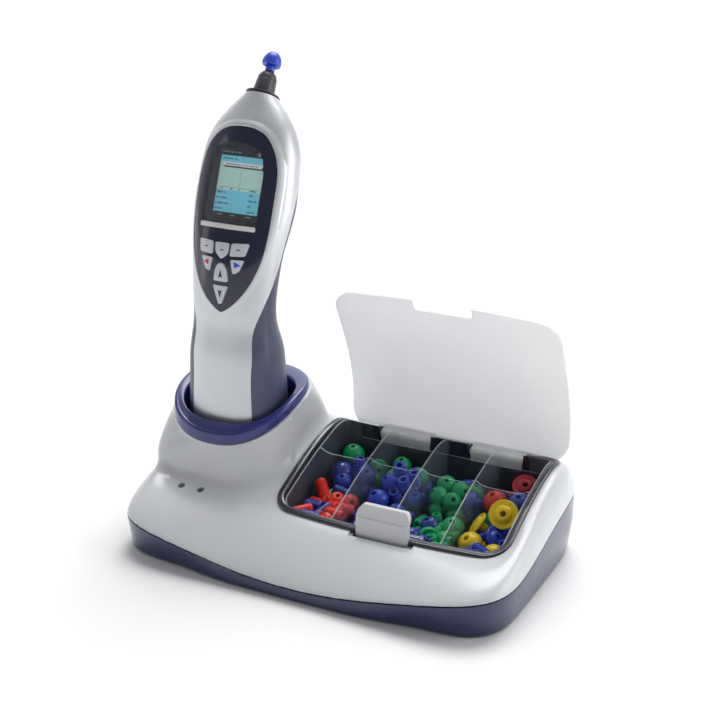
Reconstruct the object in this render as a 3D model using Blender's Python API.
"""Handheld middle-ear analyser standing in its charging cradle.

Lengths are written in millimetres and turned into metres when a mesh is made.
X runs along the front of the cradle, -Y is the front, +Z is up, z = 0 is the
bench. The origin is the middle of the cradle's footprint.
"""
import math
import bpy
import bmesh
from mathutils import Matrix, Vector

MM = 0.001
GAP = 0.3                    # clearance between touching pieces

# ---------------------------------------------------------------- dimensions
BASE_A, BASE_B, BASE_N = 134.8, 85.4, 5.7      # half width, half depth, squareness
BASE_WALL = 2.4
RING_K = 64                                    # points round the cradle
SEAM_LOW, SEAM_SIDE, SEAM_BACK = 9.5, 24.0, 41.0
FOOT_R, FOOT_OUT = 8.0, 1.6

TRAY_X, TRAY_W = 42.2, 160.0                   # tray centre and width
TRAY_FRONT, TRAY_BACK = -39.4, 67.8
TRAY_BOW = 3.9
TRAY_R = 15.0                                  # corner radius
RIM_W = 4.6
WELL_FLOOR = 12.0
HINGE_Y, HINGE_Z = 67.8, 51.8
LID_OPEN = math.radians(85.5)
LEAF_IN, LEAF_OUT = 14.0, 52.0                 # hinge leaf, from the tray centre
LATCH_X, LATCH_W = 44.0, 35.0

TOWER_X, TOWER_Y = -88.0, 15.0
RING_A, RING_B, RING_N = 45.0, 43.0, 2.3
HOLE_Y, HOLE_A, HOLE_B = 11.0, 36.5, 30.0
HX = TOWER_X                                   # middle plane of the handset

# handset sections: height, y of the widest line, lean, half width,
# front depth, back depth, squareness
HANDSET = (
    (46.0, 8.0, 0.0, 29.5, 20.0, 24.5, 2.8),
    (50.0, 8.0, 0.0, 31.0, 22.0, 26.5, 2.8),
    (70.0, 8.0, 0.0, 32.0, 23.0, 28.0, 2.8),
    (115.0, 8.0, 0.0, 31.0, 21.0, 26.0, 2.7),
    (142.0, 7.5, 0.0, 28.3, 17.0, 19.0, 2.4),
    (178.0, 13.0, 8.0, 31.2, 19.0, 15.5, 2.2),
    (214.0, 26.0, 17.0, 35.5, 21.5, 17.0, 2.15),
    (242.0, 36.0, 20.0, 33.8, 20.5, 16.0, 2.15),
    (257.0, 41.0, 22.5, 28.6, 17.0, 14.0, 2.1),
    (268.0, 45.3, 25.0, 20.4, 13.2, 11.7, 2.05),
    (273.8, 47.8, 28.0, 14.4, 11.6, 11.0, 2.0),
    (276.4, 49.0, 31.0, 11.6, 10.8, 10.6, 2.0),
)
SKIN = 2.2                                     # handset shell thickness
FASCIA_LEAN = math.radians(13.0)
PROBE_LEAN = math.radians(33.0)
PROBE_FOOT = (0.0, 49.3, 276.6)                # foot of the probe on the middle plane

# ---------------------------------------------------------------- scene
for ob in list(bpy.data.objects):
    bpy.data.objects.remove(ob, do_unlink=True)

PARTS = bpy.data.collections.new("tympanometer")
bpy.context.scene.collection.children.link(PARTS)


def material(name, rgb, rough=0.4, metal=0.0, trans=0.0):
    m = bpy.data.materials.new(name)
    m.use_nodes = True
    b = m.node_tree.nodes["Principled BSDF"]
    b.inputs["Base Color"].default_value = (*rgb, 1.0)
    b.inputs["Roughness"].default_value = rough
    b.inputs["Metallic"].default_value = metal
    b.inputs["Transmission Weight"].default_value = trans
    return m


# ---------------------------------------------------------------- mesh tools
def clean(me, outward=False):
    """Drop doubled points, unless that would open the surface."""
    bm = bmesh.new()
    bm.from_mesh(me)
    bmesh.ops.remove_doubles(bm, verts=bm.verts, dist=2e-6)
    bmesh.ops.dissolve_degenerate(bm, edges=bm.edges, dist=2e-6)
    if outward:
        bmesh.ops.connect_verts_nonplanar(bm, angle_limit=math.radians(0.02), faces=bm.faces)
        bmesh.ops.recalc_face_normals(bm, faces=bm.faces)
    if outward or all(len(e.link_faces) == 2 for e in bm.edges):
        bm.to_mesh(me)
    bm.free()


def make(name, verts, faces):
    """Object from points in millimetres, normals outward."""
    me = bpy.data.meshes.new(name)
    me.from_pydata([(x * MM, y * MM, z * MM) for x, y, z in verts], [], faces)
    me.update()
    clean(me, True)
    ob = bpy.data.objects.new(name, me)
    PARTS.objects.link(ob)
    return ob


def loft(name, rings):
    """Closed body through rings of equal count, ends closed with a fan."""
    n = len(rings[0])
    verts = [p for r in rings for p in r]
    faces = []
    for i in range(len(rings) - 1):
        for j in range(n):
            k = (j + 1) % n
            faces.append((i * n + j, i * n + k, (i + 1) * n + k, (i + 1) * n + j))
    for i in (0, len(rings) - 1):
        c = [sum(p[q] for p in rings[i]) / n for q in range(3)]
        verts.append(tuple(c))
        m = len(verts) - 1
        for j in range(n):
            faces.append((m, i * n + j, i * n + (j + 1) % n))
    return make(name, verts, faces)


def band(name, rings):
    """Closed ring-shaped body: the last ring joins the first."""
    n, m = len(rings[0]), len(rings)
    verts = [p for r in rings for p in r]
    faces = [(i * n + j, i * n + (j + 1) % n, ((i + 1) % m) * n + (j + 1) % n, ((i + 1) % m) * n + j)
             for i in range(m) for j in range(n)]
    return make(name, verts, faces)


def plate(name, ys, xs_of, zb, zt, nx=6):
    """Body between two height functions over a plan given row by row."""
    verts, faces = [], []
    rows = len(ys)
    for top in (0, 1):
        for y in ys:
            x0, x1 = xs_of(y)
            for i in range(nx + 1):
                x = x0 + (x1 - x0) * i / nx
                yy = y - bow(x, y)
                verts.append((x, yy, zt(x, yy) if top else zb(x, yy)))
    c = nx + 1

    def v(t, r, i):
        return t * rows * c + r * c + i
    for r in range(rows - 1):
        for i in range(nx):
            faces.append((v(0, r, i), v(0, r, i + 1), v(0, r + 1, i + 1), v(0, r + 1, i)))
            faces.append((v(1, r, i), v(1, r, i + 1), v(1, r + 1, i + 1), v(1, r + 1, i)))
    for r in (0, rows - 1):
        for i in range(nx):
            faces.append((v(0, r, i), v(0, r, i + 1), v(1, r, i + 1), v(1, r, i)))
    for i in (0, nx):
        for r in range(rows - 1):
            faces.append((v(0, r, i), v(0, r + 1, i), v(1, r + 1, i), v(1, r, i)))
    return make(name, verts, faces)


def box(name, x0, x1, y0, y1, z0, z1, bevel=0.0):
    bm = bmesh.new()
    bmesh.ops.create_cube(bm, size=1.0)
    bmesh.ops.scale(bm, vec=((x1 - x0) * MM, (y1 - y0) * MM, (z1 - z0) * MM), verts=bm.verts)
    bmesh.ops.translate(bm, vec=((x0 + x1) / 2 * MM, (y0 + y1) / 2 * MM, (z0 + z1) / 2 * MM), verts=bm.verts)
    if bevel:
        bmesh.ops.bevel(bm, geom=bm.edges[:], offset=bevel * MM, segments=2, profile=0.5, affect="EDGES")
    me = bpy.data.meshes.new(name)
    bm.to_mesh(me)
    bm.free()
    ob = bpy.data.objects.new(name, me)
    PARTS.objects.link(ob)
    return ob


def rod(name, centre, direction, length, r1, r2=None, seg=20):
    """Cylinder or cone, its middle at centre (mm)."""
    bm = bmesh.new()
    bmesh.ops.create_cone(bm, cap_ends=True, segments=seg, radius1=r1 * MM,
                          radius2=(r1 if r2 is None else r2) * MM, depth=length * MM)
    rot = Vector((0, 0, 1)).rotation_difference(Vector(direction)).to_matrix().to_4x4()
    bm.transform(Matrix.Translation(Vector(centre) * MM) @ rot)
    me = bpy.data.meshes.new(name)
    bm.to_mesh(me)
    bm.free()
    ob = bpy.data.objects.new(name, me)
    PARTS.objects.link(ob)
    return ob


def turned(name, profile, foot, lean, seg=24):
    """Turned body: (radius, height) pairs from the axis round to the axis."""
    bm = bmesh.new()
    ring = [bm.verts.new((r * MM, 0, h * MM)) for r, h in profile]
    for a, b in zip(ring[:-1], ring[1:]):
        bm.edges.new((a, b))
    bmesh.ops.spin(bm, geom=bm.verts[:] + bm.edges[:], cent=(0, 0, 0), axis=(0, 0, 1),
                   angle=2 * math.pi, steps=seg, use_merge=True)
    bmesh.ops.remove_doubles(bm, verts=bm.verts, dist=1e-6)
    bmesh.ops.recalc_face_normals(bm, faces=bm.faces)
    m = Matrix.Translation(Vector(foot) * MM) @ Matrix.Rotation(-lean, 4, "X")
    bm.transform(m)
    me = bpy.data.meshes.new(name)
    bm.to_mesh(me)
    bm.free()
    ob = bpy.data.objects.new(name, me)
    PARTS.objects.link(ob)
    return ob


def prism(name, outline, origin, u, w, depth0, depth1):
    """Outline in (u, w) from origin, extruded along u x w between two depths."""
    u, w, o = Vector(u), Vector(w), Vector(origin)
    n = u.cross(w)
    k = len(outline)
    verts = [tuple(o + u * a + w * b + n * depth0) for a, b in outline]
    verts += [tuple(o + u * a + w * b + n * depth1) for a, b in outline]
    faces = [tuple(range(k)), tuple(range(2 * k - 1, k - 1, -1))]
    faces += [(i, (i + 1) % k, k + (i + 1) % k, k + i) for i in range(k)]
    return make(name, verts, faces)


def boolean(ob, other, op="DIFFERENCE", keep=False):
    """Apply an exact Boolean and drop the tool body."""
    mod = ob.modifiers.new("cut", "BOOLEAN")
    mod.operation = op
    mod.solver = "EXACT"
    mod.object = other
    deps = bpy.context.evaluated_depsgraph_get()
    me = bpy.data.meshes.new_from_object(ob.evaluated_get(deps))
    ob.modifiers.remove(mod)
    old = ob.data
    ob.data = me
    bpy.data.meshes.remove(old)
    clean(ob.data)
    if not keep:
        bpy.data.objects.remove(other, do_unlink=True)
    return ob


def copy(ob, name):
    c = ob.copy()
    c.data = ob.data.copy()
    c.name = name
    PARTS.objects.link(c)
    return c


def finish(ob, name, mat, smooth=30.0):
    ob.name = name
    ob.data.name = name
    ob.data.materials.clear()
    ob.data.materials.append(mat)
    ob.data.shade_smooth()
    ob.data.set_sharp_from_angle(angle=math.radians(smooth))
    return ob


def smoothstep(a, b, x):
    t = max(0.0, min(1.0, (x - a) / (b - a)))
    return t * t * (3 - 2 * t)


def spow(v, e):
    return math.copysign(abs(v) ** e, v)


def oval(a, b, n, k, cx=0.0, cy=0.0):
    return [(cx + a * spow(math.cos(t), 2 / n), cy + b * spow(math.sin(t), 2 / n))
            for t in (2 * math.pi * (i + 0.5) / k for i in range(k))]


# ---------------------------------------------------------------- cradle form
def rim_point(t):
    """Side profile of the tray rim: a cubic from the hinge down to the front."""
    p = ((0.0, 0.0), (-18.29, 27.27), (-86.41, -9.30), (-107.2, -15.49))
    s = 1 - t
    w = (s ** 3, 3 * s * s * t, 3 * s * t * t, t ** 3)
    return (HINGE_Y + sum(a * q[0] for a, q in zip(w, p)),
            HINGE_Z + sum(a * q[1] for a, q in zip(w, p)))


def rim_z(y):
    """Height of the rim line at depth y."""
    if y >= HINGE_Y:
        return HINGE_Z - 1.4 * (y - HINGE_Y)
    lo, hi = 0.0, 1.0
    for _ in range(40):
        mid = (lo + hi) / 2
        if rim_point(mid)[0] > y:
            lo = mid
        else:
            hi = mid
    z = rim_point(lo)[1]
    if y < TRAY_FRONT:
        z -= 0.30 * (TRAY_FRONT - y)
    return z


def bow(x, y):
    """Forward bow of the tray's front edge."""
    f = max(0.0, min(1.0, (TRAY_BACK - y) / (TRAY_BACK - TRAY_FRONT)))
    u = (x - TRAY_X) / (TRAY_W / 2)
    return TRAY_BOW * f ** 3 * max(0.0, 1 - u * u)


def deck_z(y):
    """The deck lies just under the rim and rounds down at the back."""
    z = rim_z(min(y, 58.0)) - 2.0
    if y > 58.0:
        z -= 0.038 * (y - 58.0) ** 2
    return z


def seam_z(x, y):
    front = SEAM_LOW + (SEAM_SIDE - SEAM_LOW) * min(1.0, (x / 125.0) ** 2)
    t = smoothstep(-55.0, 55.0, y)
    return front + (SEAM_BACK - front) * t


def base_inset(z):
    """How far the tub draws in towards the bench."""
    if z < 4.0:
        return 5.6 + 3.4 * (1 - (z / 4.0)) ** 1.6
    return max(0.0, 5.6 * (1 - (z - 4.0) / 19.0)) ** 1.15 * 0.78


def base_ring(z_of, off=0.0, k=RING_K):
    out = []
    for i in range(k):
        t = 2 * math.pi * (i + 0.5) / k
        ux, uy = spow(math.cos(t), 2 / BASE_N), spow(math.sin(t), 2 / BASE_N)
        z = z_of(ux * BASE_A, uy * BASE_B)
        d = base_inset(z) + off
        out.append((ux * (BASE_A - d), uy * (BASE_B - d), z))
    return out


def hole_ring(z_of, off, n=32):
    return [(x, y, z_of(y)) for x, y in oval(HOLE_A + off, HOLE_B + off, 2.5, n, TOWER_X, HOLE_Y)]


def hood(name, off, z_low):
    """White upper form: wall from the seam, rolling over onto the deck."""
    k = RING_K
    steps = (0.0, 0.36, 0.62, 0.81, 0.94, 1.0)
    rings = []
    if z_low is not None:
        rings.append(base_ring(lambda x, y: z_low, off, k))
    for j, s in enumerate(reversed(steps)):
        ring = []
        for i in range(k):
            t = 2 * math.pi * (i + 0.5) / k
            ux, uy = spow(math.cos(t), 2 / BASE_N), spow(math.sin(t), 2 / BASE_N)
            zs = seam_z(ux * BASE_A, uy * BASE_B) + GAP / 2
            d = base_inset(zs) + off
            wx, wy = ux * (BASE_A - d), uy * (BASE_B - d)
            ry = 41.0 if uy < 0 else 15.0
            ex, ey = ux * (BASE_A - d - 13.0), uy * (BASE_B - d - ry)
            f = max(0.0, -uy) ** 2
            p, q = 2.5 - 0.6 * f, 2.2 - 0.7 * f
            ze = deck_z(ey) - off
            ring.append((ex + (wx - ex) * s, ey + (wy - ey) * s,
                         zs + (ze - zs) * (1 - s ** p) ** (1 / q)))
        rings.append(ring)
    for lam in (0.8, 0.5, 0.2):
        ring = []
        for i in range(k):
            t = 2 * math.pi * (i + 0.5) / k
            ux, uy = spow(math.cos(t), 2 / BASE_N), spow(math.sin(t), 2 / BASE_N)
            zs = seam_z(ux * BASE_A, uy * BASE_B) + GAP / 2
            d = base_inset(zs) + off
            ry = 41.0 if uy < 0 else 15.0
            ex, ey = ux * (BASE_A - d - 13.0) * lam, uy * (BASE_B - d - ry) * lam
            ring.append((ex, ey, deck_z(ey) - off))
        rings.append(ring)
    return loft(name, rings)


def tower_top(y):
    """Edge between white tower and blue collar: low in front, high behind."""
    u = max(0.0, min(1.0, (y - (TOWER_Y - RING_B)) / (2 * RING_B)))
    return 64.0 + 26.0 * (1 - (1 - u) ** 2.4)


def collar_top(y):
    u = max(0.0, min(1.0, (y - (TOWER_Y - RING_B)) / (2 * RING_B)))
    return tower_top(y) + 2.2 + 6.3 * (1 - u)


def tower_ring(z_of, off, n=40):
    """Ring of the tower: flares out to the deck, its left flank squares up to
    run down into the cradle's side and its back corner spreads."""
    out = []
    for i in range(n):
        t = 2 * math.pi * (i + 0.5) / n
        ct, st = math.cos(t), math.sin(t)
        y0 = TOWER_Y + RING_B * spow(st, 2 / RING_N)
        top = tower_top(y0)
        z = z_of(y0, top)
        f = max(0.0, min(1.2, (top - z) / (top - 34.0)))
        g = min(1.0, f / 0.55)
        left = smoothstep(-0.25, 0.75, -ct)
        back = smoothstep(0.1, 0.6, ct) * smoothstep(0.0, 0.5, st)
        a = RING_A + (4.2 * f ** 1.3 if ct > 0 else 1.3 * g) - off
        b = RING_B + (3.0 * f ** 1.2 if st < 0 else 8.0 * g) - off
        nn = RING_N + 0.8 * f * (1 - left) + 6.0 * left * smoothstep(0.0, 1.0, g) + 2.2 * back * g
        out.append((TOWER_X + a * spow(ct, 2 / nn), TOWER_Y + b * spow(st, 2 / nn), z))
    return out


def tower_cap(off, dz=0.0, n=40):
    """Inner rings that carry the tower's curved top across."""
    rings = []
    for lam in (0.85, 0.6, 0.3):
        ring = []
        for x, y, _ in tower_ring(lambda y, top: top, off, n):
            px, py = TOWER_X + (x - TOWER_X) * lam, TOWER_Y + (y - TOWER_Y) * lam
            ring.append((px, py, tower_top(py) + dz))
        rings.append(ring)
    return rings


# ---------------------------------------------------------------- handset form
def hermite(keys, z, c):
    ks = keys
    if z <= ks[0][0]:
        return ks[0][c]
    if z >= ks[-1][0]:
        return ks[-1][c]
    i = max(j for j in range(len(ks)) if ks[j][0] <= z)
    i = min(i, len(ks) - 2)

    def slope(j):
        if j == 0 or j == len(ks) - 1:
            m = 0 if j == 0 else j - 1
            return (ks[m + 1][c] - ks[m][c]) / (ks[m + 1][0] - ks[m][0])
        s0 = (ks[j][c] - ks[j - 1][c]) / (ks[j][0] - ks[j - 1][0])
        s1 = (ks[j + 1][c] - ks[j][c]) / (ks[j + 1][0] - ks[j][0])
        if s0 * s1 <= 0:
            return 0.0
        return 2 * s0 * s1 / (s0 + s1)
    h = ks[i + 1][0] - ks[i][0]
    t = (z - ks[i][0]) / h
    return ((2 * t ** 3 - 3 * t * t + 1) * ks[i][c] + (t ** 3 - 2 * t * t + t) * h * slope(i)
            + (-2 * t ** 3 + 3 * t * t) * ks[i + 1][c] + (t ** 3 - t * t) * h * slope(i + 1))


def section(z):
    yc, lean, a, f, g, n = (hermite(HANDSET, z, c) for c in range(1, 7))
    return yc, math.radians(lean), a, f, g, n


def handset_ring(z, off=0.0, k=30):
    yc, lean, a, f, g, n = section(z)
    out = []
    for i in range(k):
        t = 2 * math.pi * (i + 0.5) / k
        p = (a - off) * spow(math.cos(t), 2 / n)
        s = math.sin(t)
        q = ((g if s > 0 else f) - off) * spow(s, 2 / n)
        out.append((HX + p, yc + q * math.cos(lean), z - q * math.sin(lean)))
    return out


def front_point(z, x=0.0, proud=0.0):
    """Point on the front skin for the section at height z, x off the middle."""
    yc, lean, a, f, g, n = section(z)
    q = -(f + proud) * (1 - min(0.98, abs(x) / a) ** n) ** (1 / n)
    return (HX + x, yc + q * math.cos(lean), z - q * math.sin(lean))


LEVELS = (46, 48, 52, 62, 82, 106, 124, 142, 158, 174, 190, 206,
          222, 236, 248, 257, 264, 269.5, 273.5, 276.4)

# shared frame of the fascia: u across, w up the leaning face, n outward
FU = (1.0, 0.0, 0.0)
FW = (0.0, math.sin(FASCIA_LEAN), math.cos(FASCIA_LEAN))
FN = (0.0, -math.cos(FASCIA_LEAN), math.sin(FASCIA_LEAN))
FO = (HX, 0.0, 200.0)


def to_face(p):
    """(u, w) of a point in the fascia's frame."""
    d = [p[i] - FO[i] for i in range(3)]
    return d[0], d[1] * FW[1] + d[2] * FW[2]


def on_face(x, zs):
    """(u, w) of the skin point at face height zs, x off the middle."""
    lo, hi = 120.0, 276.0
    for _ in range(40):
        mid = (lo + hi) / 2
        if front_point(mid)[2] < zs:
            lo = mid
        else:
            hi = mid
    return x, to_face(front_point(lo))[1]


def teardrop(off=0.0, k=28):
    """Outline of the glossy panel, half width against face height."""
    top, mid, low, w = 262.0 + off, 225.0, 149.0 - off, 27.8 + off
    right = []
    for i in range(k + 1):
        s = i / k
        z = top + (low - top) * (0.5 - 0.5 * math.cos(math.pi * s))
        if z > mid:
            h = w * max(0.0, 1 - ((z - mid) / (top - mid)) ** 2.6) ** (1 / 2.6)
        else:
            h = w * max(0.0, 1 - ((mid - z) / (mid - low)) ** 3.0) ** 0.76
        right.append(on_face(h, z))
    left = [(-a, b) for a, b in reversed(right[1:-1])]
    return right + left


def face_poly(points, off=0.0):
    """Polygon of face points, grown by off."""
    pts = [on_face(x, z) for x, z in points]
    if not off:
        return pts
    cx = sum(p[0] for p in pts) / len(pts)
    cy = sum(p[1] for p in pts) / len(pts)
    n = len(pts)
    area = sum(pts[i][0] * pts[(i + 1) % n][1] - pts[(i + 1) % n][0] * pts[i][1] for i in range(n))
    sgn = 1 if area > 0 else -1
    out = []
    for i in range(n):
        a, b, c = Vector(pts[i - 1]), Vector(pts[i]), Vector(pts[(i + 1) % n])
        e0, e1 = (b - a).normalized(), (c - b).normalized()
        n0 = Vector((e0.y, -e0.x)) * sgn
        n1 = Vector((e1.y, -e1.x)) * sgn
        m = (n0 + n1).normalized()
        d = off / max(0.35, m.dot(n0))
        out.append(tuple(b + m * d))
    return out


KEYS = {
    "key_top_left": ((-18.0, 194.4), (-6.8, 193.6), (-6.8, 185.4), (-17.0, 186.2)),
    "key_top_mid": ((-5.1, 193.4), (5.1, 193.4), (4.6, 187.2), (0.0, 182.9), (-4.6, 187.2)),
    "key_top_right": ((6.8, 193.6), (18.0, 194.4), (15.6, 186.2), (5.9, 185.4)),
    "key_left": ((-15.4, 183.9), (-6.6, 183.4), (-8.6, 174.2), (-12.2, 176.0)),
    "key_right": ((6.6, 183.4), (15.4, 183.9), (12.2, 176.0), (8.6, 174.2)),
    "key_up": ((-1.6, 180.6), (1.6, 180.6), (4.2, 176.6), (5.3, 168.8), (-5.3, 168.8), (-4.2, 176.6)),
    "key_down": ((-5.4, 166.2), (5.4, 166.2), (1.0, 154.2), (-1.0, 154.2)),
}
KEY_TRAVEL = 0.9


def window_poly(grow=0.0):
    """Display window: straight sides, arched top."""
    pts = [(-19.0, 203.5), (19.0, 203.5)]
    for i in range(9):
        s = -1 + 2 * i / 8
        pts.append((-17.0 * s, 249.0 + 4.0 * (1 - s * s)))
    return face_poly(pts, grow)


# ================================================================ materials
M_WHITE = material("shell_white", (0.80, 0.81, 0.84), 0.32)
M_NAVY = material("tub_navy", (0.035, 0.04, 0.13), 0.30)
M_BLUE = material("collar_blue", (0.045, 0.045, 0.22), 0.34)
M_SILVER = material("shell_silver", (0.62, 0.64, 0.68), 0.36, 0.15)
M_REAR = material("shell_dark", (0.085, 0.10, 0.17), 0.40)
M_FASCIA = material("fascia_navy", (0.012, 0.012, 0.07), 0.08)
M_KEY = material("key_lilac", (0.66, 0.67, 0.76), 0.40)
M_LID = material("frosted", (0.80, 0.81, 0.83), 0.45, 0.0, 0.6)
M_CLEAR = material("clear", (0.9, 0.92, 0.93), 0.06, 0.0, 0.95)
M_WELL = material("well_grey", (0.05, 0.05, 0.06), 0.38)
M_TAB = material("tab_grey", (0.60, 0.61, 0.64), 0.42)
M_STEEL = material("steel", (0.55, 0.56, 0.58), 0.28, 1.0)
M_BRASS = material("contact_gold", (0.72, 0.53, 0.20), 0.30, 1.0)
M_RUBBER = material("foot_rubber", (0.03, 0.03, 0.03), 0.85)
M_BOARD = material("board_green", (0.02, 0.16, 0.06), 0.50)
M_LCD = material("lcd", (0.35, 0.62, 0.64), 0.25)
M_GLASS = material("window_glass", (0.05, 0.05, 0.07), 0.04, 0.0, 0.8)
M_GREY = material("probe_grey", (0.05, 0.05, 0.055), 0.38)
M_CELL = material("battery_wrap", (0.05, 0.12, 0.30), 0.45)
M_LAMP = material("lamp", (0.05, 0.06, 0.05), 0.25)
TIP = {
    "blue": material("tip_blue", (0.01, 0.06, 0.45), 0.40),
    "red": material("tip_red", (0.75, 0.03, 0.02), 0.40),
    "green": material("tip_green", (0.0, 0.38, 0.10), 0.40),
    "yellow": material("tip_yellow", (0.90, 0.62, 0.0), 0.40),
}

# ================================================================ cradle
# lower housing: tub with a floor, wall up to the seam
tub = loft("tub", [base_ring(lambda x, y, h=h: FOOT_OUT + (seam_z(x, y) - GAP / 2 - FOOT_OUT) * h)
                   for h in (0.0, 0.08, 0.25, 0.6, 1.0)])
hollow = loft("hollow", [base_ring(lambda x, y, z=z: z, BASE_WALL) for z in (4.4, 10.0, 22.0, 60.0)])
boolean(tub, hollow)

# upper housing: deck and tower, open below
shell = hood("shell", 0.0, None)
def tower_foot(y):
    """The tower's root stays above the seam, so that the tub clears it."""
    return seam_z(TOWER_X - RING_A, y) + 1.2 + 5.0 * smoothstep(-15.0, 25.0, y)


tower = loft("tower", [tower_ring(lambda y, top, s=s: tower_foot(y) + (top - tower_foot(y)) * s, 0.0)
                       for s in (0.0, 0.12, 0.35, 0.7, 1.0)] + tower_cap(0.0))
boolean(shell, tower, "UNION")
under = hood("under", BASE_WALL, -4.0)
boolean(shell, under)
core = loft("core", [tower_ring(lambda y, top, s=s: 12.0 + (top - 2.6 - 12.0) * s, BASE_WALL)
                     for s in (0.0, 0.35, 0.7, 1.0)] + tower_cap(BASE_WALL, -2.6))
boolean(shell, core)


# collar: blue band on the tower, its skirt lines the mouth
collar = band("collar", [tower_ring(lambda y, top: top + GAP, 0.0, 32),
                         tower_ring(lambda y, top: collar_top(y) - 2.2, 0.2, 32),
                         tower_ring(lambda y, top: collar_top(y) - 0.7, 1.2, 32),
                         tower_ring(lambda y, top: collar_top(y), 3.2, 32),
                         hole_ring(lambda y: collar_top(y) - 1.4, 1.6),
                         hole_ring(lambda y: collar_top(y) - 3.4, 0.0),
                         hole_ring(lambda y: tower_top(y) - 5.0, 0.0),
                         hole_ring(lambda y: tower_top(y) - 5.0, 2.2),
                         hole_ring(lambda y: tower_top(y) + GAP, 2.2)])

# the tower's top is open under the collar, with a ledge that carries it
boolean(shell, loft("throat", [hole_ring(lambda y: 40.0, 2.6), hole_ring(lambda y: 120.0, 2.6)]))

# socket: cup below the mouth that takes the handset's foot
SOCK_Z = 42.2
cup = loft("cup", [hole_ring(lambda y: SOCK_Z - 2.4, 2.2), hole_ring(lambda y: SOCK_Z + 4, 2.2),
                   hole_ring(lambda y: tower_top(y) - 5.4, 2.2)])
inner_cup = loft("inner_cup", [hole_ring(lambda y: SOCK_Z, 0.0), hole_ring(lambda y: 120.0, 0.0)])
boolean(cup, inner_cup)


# tray plan: rounded rectangle
def tray_span(grow):
    y0, y1 = TRAY_FRONT - grow, TRAY_BACK + grow
    w, r = TRAY_W / 2 + grow, max(4.0, TRAY_R + grow)

    def xs(y):
        d = max(0.0, (y0 + r) - y, y - (y1 - r))
        d = min(d, r)
        x = w - r + math.sqrt(max(0.0, r * r - d * d))
        return TRAY_X - x, TRAY_X + x
    arc = [r * (1 - math.cos(math.pi / 2 * i / 4)) for i in range(5)]
    mid = [y0 + r + (y1 - y0 - 2 * r) * i / 7 for i in range(1, 7)]
    ys = [y0 + a for a in arc] + mid + [y1 - a for a in reversed(arc)]
    return ys, xs


def tray_plate(name, grow, zb, zt, nx=8):
    ys, xs = tray_span(grow)
    return plate(name, ys, xs, zb, zt, nx)


# opening in the deck, then the well that hangs in it by its rim
boolean(shell, tray_plate("opening", -2.2, lambda x, y: 0.0, lambda x, y: 90.0))
# at the back the deck stands higher than the rim, so the rim lies in a rebate
rebate = tray_plate("rebate", 0.4, lambda x, y: rim_z(y) - 1.7, lambda x, y: 90.0)
boolean(rebate, box("front_part", -100.0, 200.0, -100.0, 57.0, 0.0, 120.0))
boolean(shell, rebate)
well = tray_plate("well", -2.6, lambda x, y: WELL_FLOOR, lambda x, y: rim_z(y) - 0.6)
flange = tray_plate("flange", 0.0, lambda x, y: rim_z(y) - 1.3, lambda x, y: rim_z(y))
boolean(well, flange, "UNION")
boolean(well, tray_plate("bucket", -RIM_W, lambda x, y: WELL_FLOOR + 1.8, lambda x, y: 90.0))

# hinge pockets in the back rim of the well, with cheeks that hold the pins
PIN_Y, PIN_Z, PIN_R, KNUCKLE_R = 66.4, 50.6, 1.1, 2.6
boolean(shell, box("slot", TRAY_X - LEAF_OUT - 5.0, TRAY_X + LEAF_OUT + 5.0, 57.3, 73.6, 41.7, 90.0))
block_side = [(62.8, 42.1), (73.1, 42.1), (73.1, 50.2)] + [(y, rim_z(y) - 0.7) for y in (69.0, 67.0, 65.0, 62.8)]
boolean(well, prism("block", block_side, (TRAY_X - LEAF_OUT - 4.6, 0.0, 0.0), (0, 1, 0), (0, 0, 1),
                    0.0, 2 * LEAF_OUT + 9.2), "UNION")
LEAVES = ((TRAY_X - LEAF_OUT, TRAY_X - LEAF_IN), (TRAY_X + LEAF_IN, TRAY_X + LEAF_OUT))
for a, b in LEAVES:
    for c0, c1 in ((a - 3.4, a + 1.0), (b - 1.0, b + 3.4)):
        boolean(well, box("cheek", c0, c1, 63.3, 69.8, 46.0, 53.7), "UNION")
# latch: a nose at the front of the rim carries its pin
LATCH_Y, LATCH_Z = -41.6, 31.0
la, lb = LATCH_X - LATCH_W / 2, LATCH_X + LATCH_W / 2
boolean(well, box("nose", la - 3.6, lb + 3.6, -46.4, -35.0, 24.0, 33.6), "UNION")
for a, b in LEAVES:
    boolean(well, box("pocket", a - 0.4, b + 0.4, 63.35, 71.8, 45.6, 70.0))
    for x in (a - 1.6, b + 1.6):
        boolean(well, rod("bore", (x, PIN_Y, PIN_Z), (1, 0, 0), 2.9, PIN_R + 0.3, seg=12))
boolean(well, box("latch_gap", la - 0.5, lb + 0.5, -60.0, -37.6, 26.4, 90.0))
for x in (la - 1.6, lb + 1.6):
    boolean(well, rod("latch_bore", (x, LATCH_Y, LATCH_Z), (1, 0, 0), 2.6, 1.3, seg=12))
boolean(shell, box("latch_slot", la - 4.0, lb + 4.0, -46.8, -30.0, 20.0, 90.0))
for nm, (a, b) in zip(("hinge_pin_left", "hinge_pin_right"), LEAVES):
    finish(rod("pin", ((a + b) / 2, PIN_Y, PIN_Z), (1, 0, 0), b - a + 5.0, PIN_R, seg=12), nm, M_STEEL)
latch_pin = finish(rod("lp", (LATCH_X, LATCH_Y, LATCH_Z), (1, 0, 0), LATCH_W + 4.4, 1.0, seg=12),
                   "latch_pin", M_STEEL)
finish(well, "tray_well", M_WELL)

# status lamps in the deck in front of the tower
for nm, x in (("status_lamp_left", -104.4), ("status_lamp_right", -89.7)):
    y = -38.4
    z = deck_z(y)
    boolean(shell, rod("lamp_hole", (x, y, z), (0, 0, 1), 20.0, 1.8, seg=16))
    finish(rod(nm, (x, y, z - 1.6), (0, 0, 1), 4.0, 1.5, seg=16), nm, M_LAMP)

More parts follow.
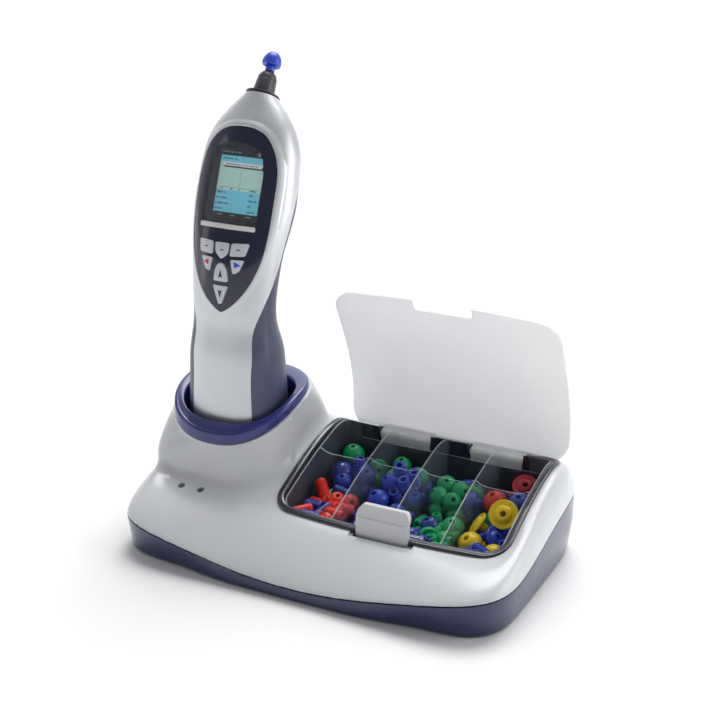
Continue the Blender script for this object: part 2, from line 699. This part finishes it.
# power socket in the back wall of the tub
boolean(tub, box("jack_hole", -96.0, -80.0, 76.0, 96.0, 12.0, 24.0))
jack = box("jack", -95.6, -80.4, 71.0, 84.6, 12.4, 23.6)
boolean(jack, rod("jack_bore", (-88.0, 82.0, 18.0), (0, 1, 0), 16.0, 3.4, seg=20))
finish(jack, "dc_inlet", M_WELL)

# feet stand in recesses in the floor, screws go up beside them
for i, (x, y) in enumerate(((-100, -52), (100, -52), (-100, 52), (100, 52))):
    boolean(tub, rod("recess", (x, y, 1.0), (0, 0, 1), 3.4, FOOT_R + 0.4, seg=24))
    finish(rod("foot", (x, y, 1.2), (0, 0, 1), 2.4, FOOT_R, seg=24), "foot_%d" % (i + 1), M_RUBBER)
for i, (x, y) in enumerate(((-76, -56), (76, -56), (-76, 56), (76, 56))):
    boolean(tub, rod("screw_hole", (x, y, 3.0), (0, 0, 1), 9.0, 3.4, seg=16))
    sc = rod("screw", (x, y, 4.2), (0, 0, 1), 2.0, 3.0, seg=16)
    shank = rod("shank", (x, y, 7.6), (0, 0, 1), 5.2, 1.5, seg=16)
    boolean(sc, shank, "UNION")
    boolean(sc, box("drive", x - 2.0, x + 2.0, y - 0.45, y + 0.45, 2.0, 4.0))
    finish(sc, "housing_screw_%d" % (i + 1), M_STEEL)

finish(tub, "lower_housing", M_NAVY)
finish(shell, "upper_housing", M_WHITE)
finish(collar, "cradle_collar", M_BLUE)

# charger board under the socket, with two spring contacts through the cup
board = finish(box("board", -124.0, -52.0, -48.0, 50.0, 28.0, 29.6), "charger_board", M_BOARD)
for nm, x in (("charging_contact_left", HX - 9.0), ("charging_contact_right", HX + 9.0)):
    boolean(cup, rod("contact_hole", (x, 11.0, SOCK_Z), (0, 0, 1), 12.0, 1.9, seg=12))
    finish(rod(nm, (x, 11.0, 37.2), (0, 0, 1), 14.6, 1.5, seg=12), nm, M_BRASS)
finish(cup, "cradle_socket", M_BLUE)

# ================================================================ lid
LID_T = 1.9


def lid_top(x, y):
    return rim_z(min(y, 64.0)) + 0.5 + LID_T


lid = tray_plate("lid", -1.2, lambda x, y: lid_top(x, y) - LID_T, lid_top, 12)
# the sheet stops short of the hinge line, only the leaves reach it
boolean(lid, box("trim", -60.0, 140.0, 62.9, 90.0, 30.0, 90.0))
# notch that clears the latch
boolean(lid, box("notch", LATCH_X - 22.5, LATCH_X + 18.6, -60.0, -34.2, 20.0, 70.0))
for s in (-1, 1):
    a, b = sorted((TRAY_X + s * LEAF_IN, TRAY_X + s * LEAF_OUT))
    knuckle = rod("knuckle", ((a + b) / 2, PIN_Y, PIN_Z), (1, 0, 0), b - a - 0.8, KNUCKLE_R, seg=20)
    arm = prism("arm", ((-2.2, 0.6), (0.9, 1.6), (0.2, 4.4), (-0.6, 5.6), (-1.8, 7.2), (-3.6, 7.8), (-5.8, 9.1),
                        (-6.0, 8.5), (-3.6, 7.0), (-2.5, 5.3)),
                (a + 0.4, PIN_Y, PIN_Z), (0, 1, 0), (0, 0, 1), 0.0, b - a - 0.8)
    boolean(knuckle, arm, "UNION")
    boolean(lid, knuckle, "UNION")
    boolean(lid, rod("pin_bore", ((a + b) / 2, PIN_Y, PIN_Z), (1, 0, 0), b - a + 4.0, PIN_R + 0.3, seg=12))
# swing it open about the pin
turn = (Matrix.Translation(Vector((0, PIN_Y, PIN_Z)) * MM) @ Matrix.Rotation(-LID_OPEN, 4, "X")
        @ Matrix.Translation(-Vector((0, PIN_Y, PIN_Z)) * MM))
lid.data.transform(turn)
finish(lid, "lid", M_LID)

# ================================================================ latch
tab = prism("tab", ((-1.9, -2.6), (1.7, -2.6), (1.9, 3.6), (1.9, 13.6), (6.2, 20.8), (5.0, 21.6),
                    (2.6, 21.2), (-1.9, 14.6), (-2.3, 6.0), (-2.3, 1.0)),
            (la, LATCH_Y, LATCH_Z), (0, 1, 0), (0, 0, 1), 0.0, LATCH_W)
boolean(tab, rod("tab_bore", (LATCH_X, LATCH_Y, LATCH_Z), (1, 0, 0), LATCH_W + 4, 1.3, seg=12))
finish(tab, "latch_tab", M_TAB)

# ================================================================ tray insert
INS_LOW = WELL_FLOOR + 2.2
INS_T = 1.6
CROSS_Y = 18.0
DIV_X = (TRAY_X - 37.2, TRAY_X, TRAY_X + 37.2)
INS_IN = RIM_W + 0.8
insert = tray_plate("insert", -INS_IN, lambda x, y: INS_LOW,
                    lambda x, y: rim_z(min(y, 55.0)) - 3.4 - 0.5 * max(0.0, y - 57.0))
boolean(insert, box("latch_room", la - 4.4, lb + 4.4, -60.0, -34.4, 10.0, 90.0))
# eight pockets: the inside of the box less its dividers
rooms = tray_plate("rooms", -INS_IN - INS_T, lambda x, y: INS_LOW + INS_T, lambda x, y: 90.0)
for x in DIV_X:
    boolean(rooms, box("divider", x - 0.8, x + 0.8, -70.0, 90.0, 0.0, 120.0))
boolean(rooms, box("cross", -80.0, 160.0, CROSS_Y - 0.8, CROSS_Y + 0.8, 0.0, 120.0))
boolean(rooms, box("latch_side", la - 6.0, lb + 6.0, -60.0, -32.8, 0.0, 120.0))
boolean(insert, rooms)
walls_x = (TRAY_X - TRAY_W / 2 + INS_IN + INS_T,) + DIV_X + (TRAY_X + TRAY_W / 2 - INS_IN - INS_T,)
finish(insert, "tray_insert", M_CLEAR)


# ear tips: turned mushrooms lying singly, and heaps that stand for the loose rest
def heap(name, x0, x1, y0, y1, h, mat, seed):
    """Low heap: a lumpy mound inside one compartment."""
    nx, ny = 7, 7
    cx, cy = (x0 + x1) / 2, (y0 + y1) / 2
    verts, faces = [], []
    for top in (0, 1):
        for j in range(ny):
            for i in range(nx):
                u, v = -1 + 2 * i / (nx - 1), -1 + 2 * j / (ny - 1)
                z = INS_LOW + INS_T + GAP
                if top:
                    lump = 0.92 + 0.08 * math.sin(3.1 * i + 1.7 * j + seed) * math.cos(2.3 * j - i + seed)
                    z += 2.0 + (h - 2.0) * max(0.0, (1 - abs(u) ** 8) * (1 - abs(v) ** 8)) * lump
                verts.append((cx + u * (x1 - x0) / 2, cy + v * (y1 - y0) / 2, z))
    c = nx

    def q(t, j, i):
        return t * nx * ny + j * c + i
    for j in range(ny - 1):
        for i in range(nx - 1):
            faces.append((q(0, j, i), q(0, j, i + 1), q(0, j + 1, i + 1), q(0, j + 1, i)))
            faces.append((q(1, j, i), q(1, j, i + 1), q(1, j + 1, i + 1), q(1, j + 1, i)))
    for j in (0, ny - 1):
        for i in range(nx - 1):
            faces.append((q(0, j, i), q(0, j, i + 1), q(1, j, i + 1), q(1, j, i)))
    for i in (0, nx - 1):
        for j in range(ny - 1):
            faces.append((q(0, j, i), q(0, j + 1, i), q(1, j + 1, i), q(1, j, i)))
    return finish(make(name, verts, faces), name, mat)


FRONT_Y = (TRAY_FRONT + INS_IN + 4.0, CROSS_Y - 1.4)
BACK_Y = (CROSS_Y + 1.4, 56.4)
cols = []
for i in range(4):
    cols.append((walls_x[i] + (1.4 if i else 3.0), walls_x[i + 1] - (1.4 if i < 3 else 3.0)))
HEAPS = (("tips_red_front", 0, FRONT_Y, 11.0, "red"), ("tips_green_back", 0, BACK_Y, 17.0, "green"),
         ("tips_blue_front", 1, FRONT_Y, 13.0, "blue"), ("tips_blue_back", 1, BACK_Y, 18.0, "blue"),
         ("tips_green_front", 2, FRONT_Y, 13.0, "green"), ("tips_green_rear", 2, BACK_Y, 15.0, "green"),
         ("tips_yellow_front", 3, FRONT_Y, 12.0, "yellow"), ("tips_yellow_back", 3, BACK_Y, 18.0, "yellow"))
for k, (nm, col, (y0, y1), h, c) in enumerate(HEAPS):
    heap(nm, cols[col][0], cols[col][1], y0, y1, h, TIP[c], 1.3 * k)

# ================================================================ handset
body = loft("body", [handset_ring(z) for z in LEVELS])
void = loft("void", [handset_ring(z, SKIN) for z in (48.4,) + LEVELS[2:-3] + (269.5,)])
skin = copy(body, "skin")
boolean(skin, copy(void, "v2"))

# side view of the joint between front and rear shell
SEAM = ((-40.0, 40.0), (-11.3, 40.0), (-11.3, 78.0), (-9.6, 112.0), (-5.0, 138.0), (0.4, 153.0),
        (6.2, 164.0), (14.2, 180.0), (19.6, 196.0), (25.0, 210.0), (31.0, 220.0), (40.0, 226.0),
        (52.0, 230.0), (80.0, 232.0))


def seam_side(front, gap):
    """Region on one side of the joint, pulled back by half the gap."""
    g = -gap if front else gap
    pts = []
    for i, (y, z) in enumerate(SEAM):
        a, b = SEAM[max(0, i - 1)], SEAM[min(len(SEAM) - 1, i + 1)]
        t = Vector((b[0] - a[0], b[1] - a[1])).normalized()
        pts.append((y + g * t.y, z - g * t.x))
    if front:
        pts += [(80.0, 330.0), (-80.0, 330.0), (-80.0, 40.0 - g)]
    else:
        pts += [(80.0, 0.0), (-40.0, 0.0)]
    return prism("side", pts, (HX - 60.0, 0.0, 0.0), (0, 1, 0), (0, 0, 1), 0.0, 120.0)


front = copy(skin, "front")
boolean(front, seam_side(True, GAP / 2), "INTERSECT")
rear = skin
boolean(rear, seam_side(False, GAP / 2), "INTERSECT")

# fascia: a patch of the skin, let into the front shell
patch = copy(body, "patch")
boolean(patch, prism("drop", teardrop(), FO, FU, FW, -20.0, 70.0), "INTERSECT")
under_patch = loft("under_patch", [handset_ring(z, 1.5) for z in LEVELS[3:-1]])
boolean(patch, under_patch)
boolean(front, prism("drop_hole", teardrop(GAP), FO, FU, FW, -20.0, 70.0))

# window and its seat
boolean(patch, prism("win_hole", window_poly(GAP), FO, FU, FW, -20.0, 70.0))
glass = copy(body, "glass")
boolean(glass, prism("win", window_poly(), FO, FU, FW, -20.0, 70.0), "INTERSECT")
boolean(glass, loft("under_glass", [handset_ring(z, 1.4) for z in LEVELS[3:-1]]))

# keys: blocks whose face stands a little proud of the skin
proud = loft("proud", [handset_ring(z, -1.3) for z in LEVELS[7:13]])
sunk = loft("sunk", [handset_ring(z, 4.0) for z in LEVELS[7:13]])
for nm, pts in KEYS.items():
    boolean(patch, prism("key_hole", face_poly(pts, 0.35), FO, FU, FW, -20.0, 70.0))
    key = copy(proud, "key")
    boolean(key, prism("key_cut", face_poly(pts), FO, FU, FW, -20.0, 70.0), "INTERSECT")
    boolean(key, copy(sunk, "s"))
    finish(key, nm, M_KEY)
bpy.data.objects.remove(proud, do_unlink=True)
bpy.data.objects.remove(sunk, do_unlink=True)

# pieces inside the handset, flat boards set in the leaning frame
def leaning_box(name, x0, x1, w0, w1, d0, d1, mat):
    """Box in the fascia's frame: across, up the face, outward."""
    ob = prism(name, ((x0, w0), (x1, w0), (x1, w1), (x0, w1)), FO, FU, FW, d0, d1)
    return finish(ob, name, mat)


leaning_box("keypad_board", -15.0, 15.0, -47.0, -3.0, -9.4, -7.9, M_BOARD)
# the display lies flat behind the bowed window, in a frame of its own
p0, p1 = front_point(206.0), front_point(244.0)
DL = math.atan2(p1[1] - p0[1], p1[2] - p0[2])
DO = tuple((p0[i] + p1[i]) / 2 for i in range(3))
DW = (0.0, math.sin(DL), math.cos(DL))
for nm, x1, w0, w1, d0, d1, mt in (("display_module", 17.0, -20.5, 23.0, -11.0, -8.2, M_LCD),
                                   ("handset_board", 19.0, -22.0, 24.0, -13.6, -12.0, M_BOARD)):
    finish(prism(nm, ((-x1, w0), (x1, w0), (x1, w1), (-x1, w1)), DO, FU, DW, d0, d1), nm, mt)
finish(box("pump", HX - 12, HX + 12, 3.0, 23.0, 104.0, 140.0, 2.0), "pump_module", M_WELL)
finish(box("cells", HX - 21, HX + 21, 1.0, 25.0, 54.0, 100.0, 3.0), "battery_pack", M_CELL)

# battery door in the back of the rear shell, held by one screw
door = copy(rear, "door")
door_out = ((-22.0, 60.0), (22.0, 60.0), (22.0, 116.0), (14.0, 126.0), (-14.0, 126.0), (-22.0, 116.0))
boolean(door, prism("door_cut", door_out, (HX, 60.0, 0.0), (-1, 0, 0), (0, 0, 1), -50.0, 10.0), "INTERSECT")
hole = [(a * 1.014, 93 + (b - 93) * 1.009) for a, b in door_out]
boolean(rear, prism("door_hole", hole, (HX, 60.0, 0.0), (-1, 0, 0), (0, 0, 1), -50.0, 10.0))
boolean(door, rod("door_screw_hole", (HX, 28.0, 70.0), (0, 1, 0), 30.0, 1.9, seg=16))
finish(rod("door_screw", (HX, 33.4, 70.0), (0, 1, 0), 5.0, 1.6, seg=16), "door_screw", M_STEEL)
finish(door, "battery_cover", M_REAR)

# charging pads in the handset's foot
for nm, x in (("charge_pad_left", HX - 9.0), ("charge_pad_right", HX + 9.0)):
    boolean(rear, rod("pad_hole", (x, 11.0, 47.0), (0, 0, 1), 8.0, 3.3, seg=16))
    finish(rod(nm, (x, 11.0, 46.8), (0, 0, 1), 1.8, 3.0, seg=16), nm, M_BRASS)

finish(front, "handset_front_shell", M_SILVER)
finish(rear, "handset_rear_shell", M_REAR)
finish(patch, "fascia", M_FASCIA)
finish(glass, "display_window", M_GLASS)
bpy.data.objects.remove(body, do_unlink=True)
bpy.data.objects.remove(void, do_unlink=True)

# probe: ring at the neck, stem, knurled cap and the fitted ear tip
FOOT = (HX, PROBE_FOOT[1], PROBE_FOOT[2])


def up(h):
    return (HX, FOOT[1] + h * math.sin(PROBE_LEAN), FOOT[2] + h * math.cos(PROBE_LEAN))


finish(turned("neck", ((1.6, 0.3), (11.0, 0.3), (11.4, 1.0), (10.6, 1.9), (1.6, 1.9), (1.6, 0.3)), FOOT, PROBE_LEAN),
       "neck_ring", M_GREY)
finish(turned("stem", ((1.2, 2.2), (6.9, 2.2), (6.6, 6.4), (6.2, 11.1), (1.2, 11.1), (1.2, 2.2)), FOOT, PROBE_LEAN),
       "probe_body", M_GREY)
finish(turned("cap", ((1.2, 11.4), (6.2, 11.4), (5.8, 14.2), (4.4, 16.8), (3.1, 18.6), (1.9, 19.4),
                      (1.9, 24.0), (1.2, 24.0), (1.2, 11.4)), FOOT, PROBE_LEAN),
       "probe_cap", M_GREY)
finish(turned("tip", ((2.2, 20.0), (3.3, 20.0), (3.4, 23.0), (6.0, 22.4), (6.5, 24.2), (6.1, 26.6), (4.9, 28.8),
                      (3.0, 30.4), (1.4, 30.9), (1.4, 25.6), (2.2, 24.6), (2.2, 20.0)), FOOT, PROBE_LEAN),
       "fitted_ear_tip", TIP["blue"])


# ================================================================ pivots
def pivot(name, point):
    """Put the piece's origin on its joint's axis (mm)."""
    ob = bpy.data.objects[name]
    ob.data.transform(Matrix.Translation(-Vector(point) * MM))
    ob.location = Vector(point) * MM


def carrier(name, point, names):
    """Empty on the joint's axis that carries the named pieces."""
    em = bpy.data.objects.new(name, None)
    PARTS.objects.link(em)
    em.location = Vector(point) * MM
    for nm in names:
        ob = bpy.data.objects[nm]
        ob.parent = em
        ob.matrix_parent_inverse = Matrix.Translation(-Vector(point) * MM)


pivot("lid", (TRAY_X, PIN_Y, PIN_Z))
pivot("latch_tab", (LATCH_X, LATCH_Y, LATCH_Z))
pivot("fitted_ear_tip", up(20.0))
for nm, pts in KEYS.items():
    mz = sum(q[1] for q in pts) / len(pts)
    mx = sum(q[0] for q in pts) / len(pts)
    u, w = on_face(mx, mz)
    pivot(nm, tuple(FO[i] + FU[i] * u + FW[i] * w for i in range(3)))
carrier("tray_lift", (TRAY_X, CROSS_Y, INS_LOW), ["tray_insert"] + [h[0] for h in HEAPS])
carrier("handset_lift", (HX, 8.0, 46.0),
        ["handset_front_shell", "handset_rear_shell", "battery_cover", "door_screw", "battery_pack",
         "pump_module", "fascia", "display_window", "display_module", "keypad_board", "handset_board",
         "charge_pad_left", "charge_pad_right", "neck_ring", "probe_body", "probe_cap", "fitted_ear_tip"]
        + list(KEYS))
